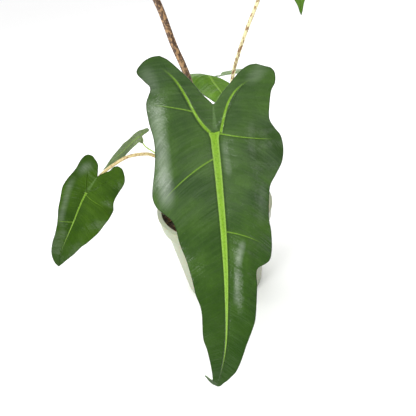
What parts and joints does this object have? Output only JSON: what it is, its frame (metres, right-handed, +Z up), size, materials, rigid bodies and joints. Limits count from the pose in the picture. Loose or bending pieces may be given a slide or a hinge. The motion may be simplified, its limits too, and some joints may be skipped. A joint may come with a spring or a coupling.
{
  "type": "potted sarian alocasia",
  "caption": "Arrow-leaved aroid house plant with glossy wavy blades on mottled stalks, growing from potting mix in a round pale green nursery pot.",
  "frame": {"origin": "middle of the pot's flat base, on the surface it stands on", "axes": "+Z up along the pot's axis, -Y towards the large front leaf, +X to the right as seen from the front"},
  "size_m": [0.3681, 0.3048, 0.4565],
  "materials": {
    "pot_plastic": "smooth moulded plastic, pale sage green, soft sheen",
    "potting_mix": "coarse dark bark and coir mix with pale grains",
    "rhizome": "dull brown, ringed by old leaf scars",
    "leaf_dark": "glossy dark green with pale yellow-green ribs",
    "leaf_bright": "glossy bright green with pale ribs",
    "leaf_grey": "satin grey-green with a pale midrib",
    "stalk_brown": "satin, mottled brown on buff",
    "stalk_tan": "satin, mottled tan on pale yellow",
    "stalk_green": "satin, pale yellow-green"
  },
  "bodies": {
    "root": {"pot": "pot_plastic", "soil": "potting_mix", "crown": "rhizome", "petiole_front": "stalk_brown", "blade_front": "leaf_dark", "petiole_left": "stalk_tan", "blade_left": "leaf_bright", "petiole_left_small": "stalk_green", "blade_left_small": "leaf_grey", "petiole_back": "stalk_green", "blade_back": "leaf_bright", "petiole_back_right": "stalk_tan", "blade_back_right": "leaf_bright", "petiole_right_tall": "stalk_tan", "blade_right_tall": "leaf_bright", "petiole_left_tall": "stalk_brown", "blade_left_tall": "leaf_dark"}
  },
  "joints": []
}
